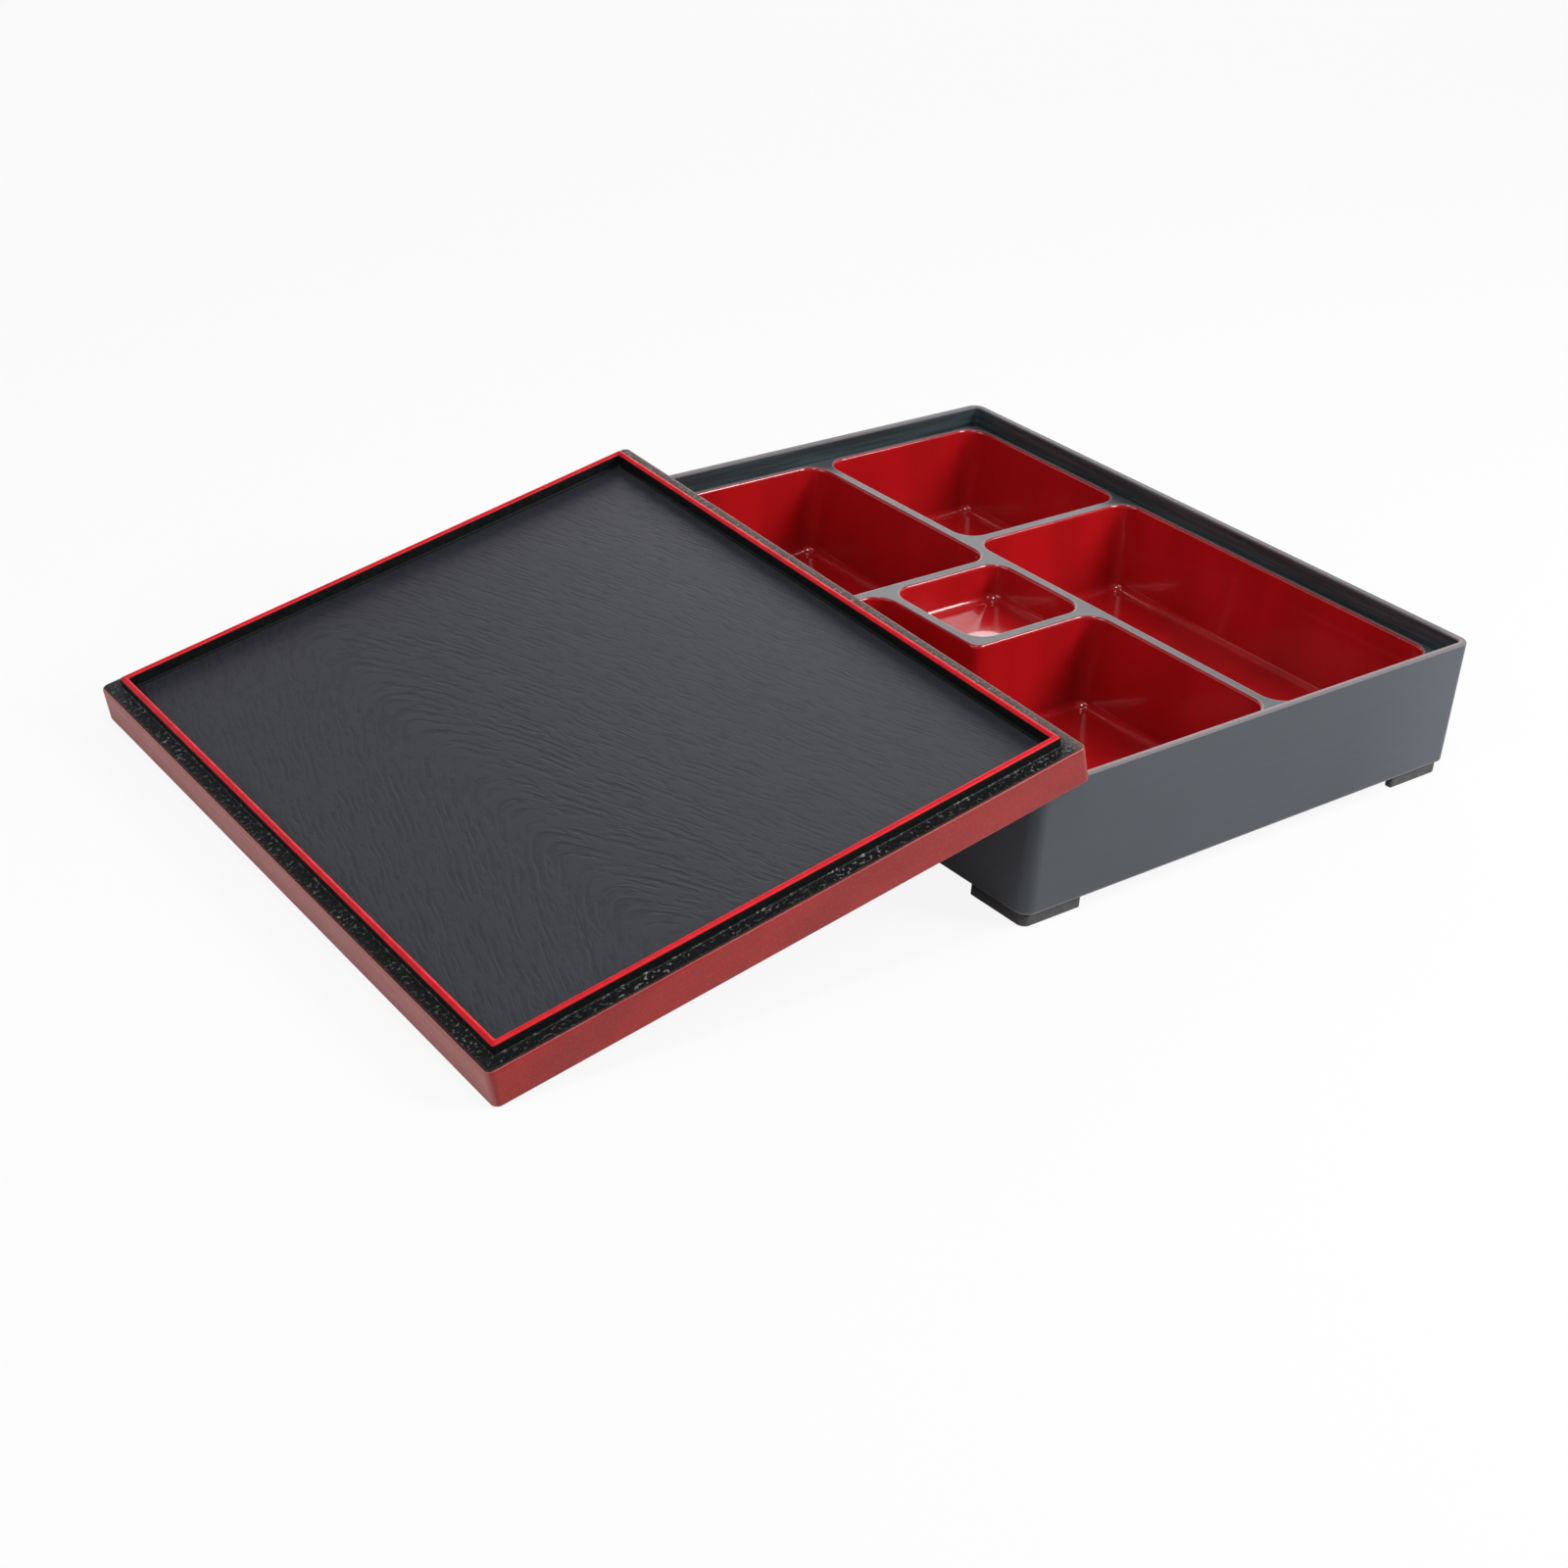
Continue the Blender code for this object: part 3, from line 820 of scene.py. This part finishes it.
def cup_rings(skin, corners, floor, draft, wall, top, steps, hold=0.0):
    """Rings of a drafted cup from its floor up, grown outward by the wall, with tighter corners below."""
    mouth = -INSERT_DROP
    fillet = CUP_FLOOR_FILLET + wall
    base = floor - wall

    def ring(inset, height, wear=0.0):
        depth = (mouth - height) / (mouth - floor)
        lean = draft * depth
        turn = CUP_CORNER_RADIUS + (CUP_FLOOR_RADIUS - CUP_CORNER_RADIUS) * depth
        radius = turn + wall - max(inset, 0.0) * CORNER_SHRINK
        inner = CUP_INNER_CORNER_RADIUS - wall * INNER_CORNER_SHRINK + max(inset, 0.0) * CORNER_SHRINK
        return skin.ring(outline(corners, lean + inset - wall, radius, inner), height, wear)

    rings = [ring(fillet + HOLD, base)]
    for along, rise in reversed(quarter(steps)):
        rings.append(ring(fillet * rise, base + fillet * (1.0 - along)))
    rings.append(ring(0.0, base + fillet + ROUND_HOLD))
    if hold:
        rings.append(ring(0.0, top - hold))
    rings.append(ring(0.0, top))
    return rings


def compartment_insert(middle):
    """The insert: grey top plate, red lacquered cups, bare dark underside."""
    width = BOX_WIDTH - 2 * (BOX_WALL + INSERT_SIDE_GAP)
    length = BOX_LENGTH - 2 * (BOX_WALL + INSERT_SIDE_GAP)
    corners = centred(width, length)
    radius = INSERT_CORNER_RADIUS
    skin = Skin(Matrix.Translation(middle))
    edge = []
    for inset, height, wear in INSERT_EDGE_PROFILE:
        points = outline(corners, INSERT_EDGE * inset, radius, radius)
        edge.append(skin.ring(points, -INSERT_DROP + INSERT_WALL * height, wear))
    skin.stack(edge, [UNDER] * 2 + [WEB] * 4)
    lips = []
    sockets = []
    lip = CUP_LIP_ROUND
    for plan, floor, draft in cup_plans():
        inner = cup_rings(skin, plan, floor, draft, 0.0, -INSERT_DROP - lip, CUP_FLOOR_STEPS, LIP_HOLD)
        slots = [CUP] * (len(inner) - 1)
        for count, (along, rise) in enumerate(quarter(LIP_STEPS)[1:]):
            grow = lip * rise
            points = outline(plan, -grow, CUP_CORNER_RADIUS + grow, CUP_INNER_CORNER_RADIUS)
            inner.append(skin.ring(points, -INSERT_DROP - lip * (1.0 - along), LIP_RUB))
            slots.append(CUP if count < LIP_RED_STEPS else WEB)
        grow = lip + LIP_EASE
        points = outline(plan, -grow, CUP_CORNER_RADIUS + grow, CUP_INNER_CORNER_RADIUS)
        inner.append(skin.ring(points, -INSERT_DROP))
        slots.append(WEB)
        skin.stack(inner, slots)
        skin.cap(inner[0], CUP)
        lips.append(inner[-1])
        top = -INSERT_DROP - INSERT_WALL
        outer = cup_rings(skin, plan, floor, draft, INSERT_WALL, top, UNDER_FLOOR_STEPS)
        skin.stack(outer, [UNDER] * (len(outer) - 1))
        skin.cap(outer[0], UNDER)
        sockets.append(outer[-1])
    skin.plate(edge[-1], lips, WEB)
    skin.plate(edge[0], sockets, UNDER)
    return skin.item("insert_tray", [web_coat(), cup_coat(), under_coat()])


def lid_size():
    """Width and length of the lid, which drops over the outside of the box wall."""
    grow = 2 * (LID_SIDE_GAP + LID_SKIRT)
    return BOX_WIDTH + grow, BOX_LENGTH + grow


def lid_place(middle):
    """Where the lid leans: left skirt on the table, right skirt across the box rim."""
    width, length = lid_size()
    reach = width / 2 + LID_FLARE - SKIRT_TIP_ROUND
    span = width + 2 * LID_FLARE - LID_SKIRT
    table = -BOX_WALL_HEIGHT - FOOT_HEIGHT
    lean = math.asin((LID_REST_GAP - table) / span)
    yaw = math.radians(LID_YAW)
    turn = Matrix.Rotation(yaw, 3, "Z") @ Euler((0.0, -lean, 0.0)).to_matrix()
    low = turn @ Vector((-reach, 0.0, -LID_SIDE))
    high = turn @ Vector((reach, 0.0, -LID_SIDE))
    x = -BOX_WIDTH / 2 + LID_OVERLAP - high.x
    corner_x = -BOX_WIDTH / 2 + BOX_CORNER_RADIUS
    corner_y = -BOX_LENGTH / 2 + BOX_CORNER_RADIUS
    along = BOX_CORNER_RADIUS - length / 2 + LID_SKIRT + LID_CORNER_GAP
    y = corner_y - (along + (corner_x - x) * math.sin(yaw)) / math.cos(yaw)
    spot = Vector((x, y, table - low.z)) + middle
    return Matrix.Translation(spot) @ turn.to_4x4()


def lid_ring(skin, inset, height, wear=0.0):
    """One ring of the lid about its own centre."""
    corners = centred(*lid_size())
    flare = LID_FLARE * height / LID_SIDE if height < 0 else 0.0
    radius = max(LID_CORNER_RADIUS - inset, LID_LEAST_RADIUS)
    return skin.ring(outline(corners, inset + flare, radius, radius), height, wear)


def lid_shell(place):
    """The lid: red outside and under, black on top, with a red crown on its bead."""
    skin = Skin(place)
    rings = []
    coats = []

    def step(coat, inset, height, wear=0.0):
        rings.append(lid_ring(skin, inset, height, wear))
        coats.append(coat)

    inner = LID_SKIRT
    fillet = LID_INNER_FILLET
    tip = SKIRT_TIP_ROUND
    step(RED, inner + fillet + HOLD, -LID_PLATE)
    for along, rise in reversed(quarter(LID_HOLLOW_STEPS)):
        step(RED, inner + fillet * (1.0 - rise), -LID_PLATE - fillet * (1.0 - along))
    step(RED, inner, -LID_PLATE - fillet - HOLD)
    step(RED, inner, -LID_SIDE + tip + HOLD)
    step(RED, inner, -LID_SIDE + tip, SKIRT_RUB)
    step(RED, inner - tip, -LID_SIDE, SKIRT_TIP_RUB)
    step(RED, tip, -LID_SIDE, SKIRT_TIP_RUB)
    step(RED, 0.0, -LID_SIDE + tip, SKIRT_RUB)
    step(RED, 0.0, -LID_SIDE + tip + ROUND_HOLD)
    step(RED, 0.0, -LID_EDGE_ROUND - EDGE_HOLD)
    for count, (along, rise) in enumerate(quarter(LID_EDGE_STEPS)):
        coat = RED if count < LID_EDGE_STEPS else FLANGE
        wear = 0.0 if count < LID_EDGE_STEPS - 1 else 1.0
        step(coat, LID_EDGE_ROUND * rise, -LID_EDGE_ROUND * (1.0 - along), wear)
    step(FLANGE, LID_EDGE_ROUND + EDGE_BAND, 0.0, 1.0)
    step(FLANGE, LID_EDGE_ROUND + EDGE_BAND + EDGE_BAND_EASE, 0.0)
    step(FLANGE, BEAD_INSET - BEAD_FILLET_START, 0.0)
    for along, rise in quarter(BEAD_FILLET_STEPS):
        step(FLANGE, BEAD_INSET - BEAD_FILLET * (1.0 - along), BEAD_FILLET * rise)
    crown = BEAD_WIDTH / 2
    shoulder = BEAD_HEIGHT - crown - CROWN_EASE
    step(BEAD, BEAD_INSET, shoulder - CROWN_RUN)
    for count, (along, rise) in enumerate(quarter(CROWN_STEPS)):
        coat = CROWN if count >= CROWN_RED_START else BEAD
        step(coat, BEAD_INSET + crown * rise, shoulder + crown * along)
    for count, (along, rise) in enumerate(quarter(CROWN_STEPS)[1:]):
        coat = CROWN if count < CROWN_RED_END else BEAD
        step(coat, BEAD_INSET + crown + crown * along, shoulder + crown * (1.0 - rise))
    foot = BEAD_INSET + BEAD_WIDTH
    step(BEAD, foot, PANEL_FILLET - PANEL_DROP + PANEL_FILLET_HOLD)
    for along, rise in quarter(PANEL_STEPS):
        step(BEAD, foot + PANEL_FILLET * rise, PANEL_FILLET * (1.0 - along) - PANEL_DROP)
    step(PANEL, foot + PANEL_FILLET + HOLD, -PANEL_DROP)
    skin.stack(rings, coats[1:])
    skin.cap(list(reversed(rings[0])), RED)
    skin.cap(rings[-1], PANEL)
    paints = [lid_red_coat(), flange_coat(), bead_coat(), panel_coat(), bead_wall_coat()]
    return skin.item("lid_cover", paints)


def studio_sheet(name, spots, faces, white):
    """A matt sheet of the studio, with its material."""
    data = bpy.data.meshes.new(name)
    data.from_pydata(spots, [], faces)
    sheet = bpy.data.objects.new(name, data)
    bpy.context.scene.collection.objects.link(sheet)
    coat = bpy.data.materials.new(name + "_white")
    coat.use_nodes = True
    shader = coat.node_tree.nodes["Principled BSDF"]
    shader.inputs["Base Color"].default_value = (white, white, white, 1.0)
    shader.inputs["Roughness"].default_value = STUDIO_ROUGHNESS
    data.materials.append(coat)
    return sheet, coat.node_tree


def stage_set():
    """The floor: nearly white to the camera with a faint shadow, and lightened in reflections."""
    spots = [(x, y, 0.0) for x, y in centred(2 * TABLE_HALF, 2 * TABLE_HALF)]
    floor, tree = studio_sheet("floor", spots, [(0, 1, 2, 3)], TABLE_WHITE)
    nodes = tree.nodes
    links = tree.links
    shader = nodes["Principled BSDF"]
    shader.inputs["Specular IOR Level"].default_value = 0.0
    glow = nodes.new("ShaderNodeEmission")
    glow.inputs["Color"].default_value = WHITE
    glow.inputs["Strength"].default_value = 1.0
    path = nodes.new("ShaderNodeLightPath")
    shine = nodes.new("ShaderNodeMath")
    shine.operation = "MULTIPLY"
    shine.inputs[1].default_value = TABLE_SHINE
    links.new(path.outputs["Is Glossy Ray"], shine.inputs[0])
    share = nodes.new("ShaderNodeMath")
    share.operation = "MULTIPLY_ADD"
    share.inputs[1].default_value = TABLE_GLOW
    links.new(path.outputs["Is Camera Ray"], share.inputs[0])
    links.new(shine.outputs[0], share.inputs[2])
    blend = nodes.new("ShaderNodeMixShader")
    links.new(share.outputs[0], blend.inputs["Fac"])
    links.new(shader.outputs["BSDF"], blend.inputs[1])
    links.new(glow.outputs["Emission"], blend.inputs[2])
    links.new(blend.outputs["Shader"], nodes["Material Output"].inputs["Surface"])
    floor.location.z = -TABLE_DROP


def backdrop():
    """A white sheet bent round behind the set, out of the picture, that the top faces reflect."""
    spots = []
    faces = []
    for i in range(BACKDROP_STEPS + 1):
        angle = math.radians(BACKDROP_START + (BACKDROP_END - BACKDROP_START) * i / BACKDROP_STEPS)
        for height in (0.0, BACKDROP_HEIGHT):
            spots.append((math.sin(angle) * BACKDROP_REACH, math.cos(angle) * BACKDROP_REACH, height))
        if i:
            faces.append((2 * i - 2, 2 * i, 2 * i + 1, 2 * i - 1))
    sheet, tree = studio_sheet("backdrop", spots, faces, BACKDROP_WHITE)
    shader = tree.nodes["Principled BSDF"]
    shader.inputs["Emission Color"].default_value = WHITE
    shader.inputs["Emission Strength"].default_value = BACKDROP_GLOW


def surround():
    """An even dim world that the camera sees as white."""
    world = bpy.data.worlds.new("studio")
    bpy.context.scene.world = world
    world.use_nodes = True
    nodes = world.node_tree.nodes
    links = world.node_tree.links
    sky = nodes["Background"]
    sky.inputs["Color"].default_value = WHITE
    sky.inputs["Strength"].default_value = SKY
    seen = nodes.new("ShaderNodeBackground")
    seen.inputs["Color"].default_value = WHITE
    seen.inputs["Strength"].default_value = 1.0
    path = nodes.new("ShaderNodeLightPath")
    blend = nodes.new("ShaderNodeMixShader")
    links.new(path.outputs["Is Camera Ray"], blend.inputs["Fac"])
    links.new(sky.outputs["Background"], blend.inputs[1])
    links.new(seen.outputs["Background"], blend.inputs[2])
    links.new(blend.outputs["Shader"], nodes["World Output"].inputs["Surface"])


def soft_lamp(name, spot, aim, size, watts):
    """A rectangular soft light aimed at a point."""
    data = bpy.data.lights.new(name, "AREA")
    data.shape = "RECTANGLE"
    data.size = size[0]
    data.size_y = size[1]
    data.energy = watts
    lamp = bpy.data.objects.new(name, data)
    bpy.context.scene.collection.objects.link(lamp)
    lamp.location = spot
    lamp.rotation_euler = (Vector(aim) - Vector(spot)).to_track_quat("-Z", "Y").to_euler()


def camera(middle):
    """The camera at the photograph's viewing angle."""
    data = bpy.data.cameras.new("camera")
    data.lens = CAMERA_LENS
    data.sensor_width = CAMERA_SENSOR
    data.sensor_fit = "HORIZONTAL"
    data.clip_start = CAMERA_NEAREST
    data.clip_end = CAMERA_FARTHEST
    item = bpy.data.objects.new("camera", data)
    bpy.context.scene.collection.objects.link(item)
    heading = math.radians(CAMERA_HEADING)
    dip = math.radians(CAMERA_DIP)
    roll = math.radians(CAMERA_ROLL)
    ahead = Vector((math.sin(heading) * math.cos(dip), math.cos(heading) * math.cos(dip), -math.sin(dip)))
    level = Vector((math.cos(heading), -math.sin(heading), 0.0))
    below = ahead.cross(level)
    right = level * math.cos(roll) + below * math.sin(roll)
    down = below * math.cos(roll) - level * math.sin(roll)
    turn = Matrix((right, -down, -ahead)).transposed()
    item.matrix_world = Matrix.Translation(middle + Vector(CAMERA_SPOT)) @ turn.to_4x4()
    bpy.context.scene.camera = item


def main():
    """Dress the three bodies, then set up the studio and the camera."""
    middle = box_place()
    shell = outer_box(middle)
    feet = corner_feet(middle)
    tray = compartment_insert(middle)
    cover = lid_shell(lid_place(middle))
    for piece, body, node, slot in (
        (shell, "box", "outer_box", "charcoal_grain"),
        (feet, "box", None, "charcoal_grain"),
        (tray, "insert", "compartment_insert", "glossy_red"),
        (cover, "lid", "lid", "black_grain"),
    ):
        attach(piece, body)
        if node:
            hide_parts(node)
    stage_set()
    surround()
    backdrop()
    for lamp in LAMPS:
        soft_lamp(*lamp)
    camera(middle)
    bpy.context.scene.view_settings.view_transform = "Standard"


main()
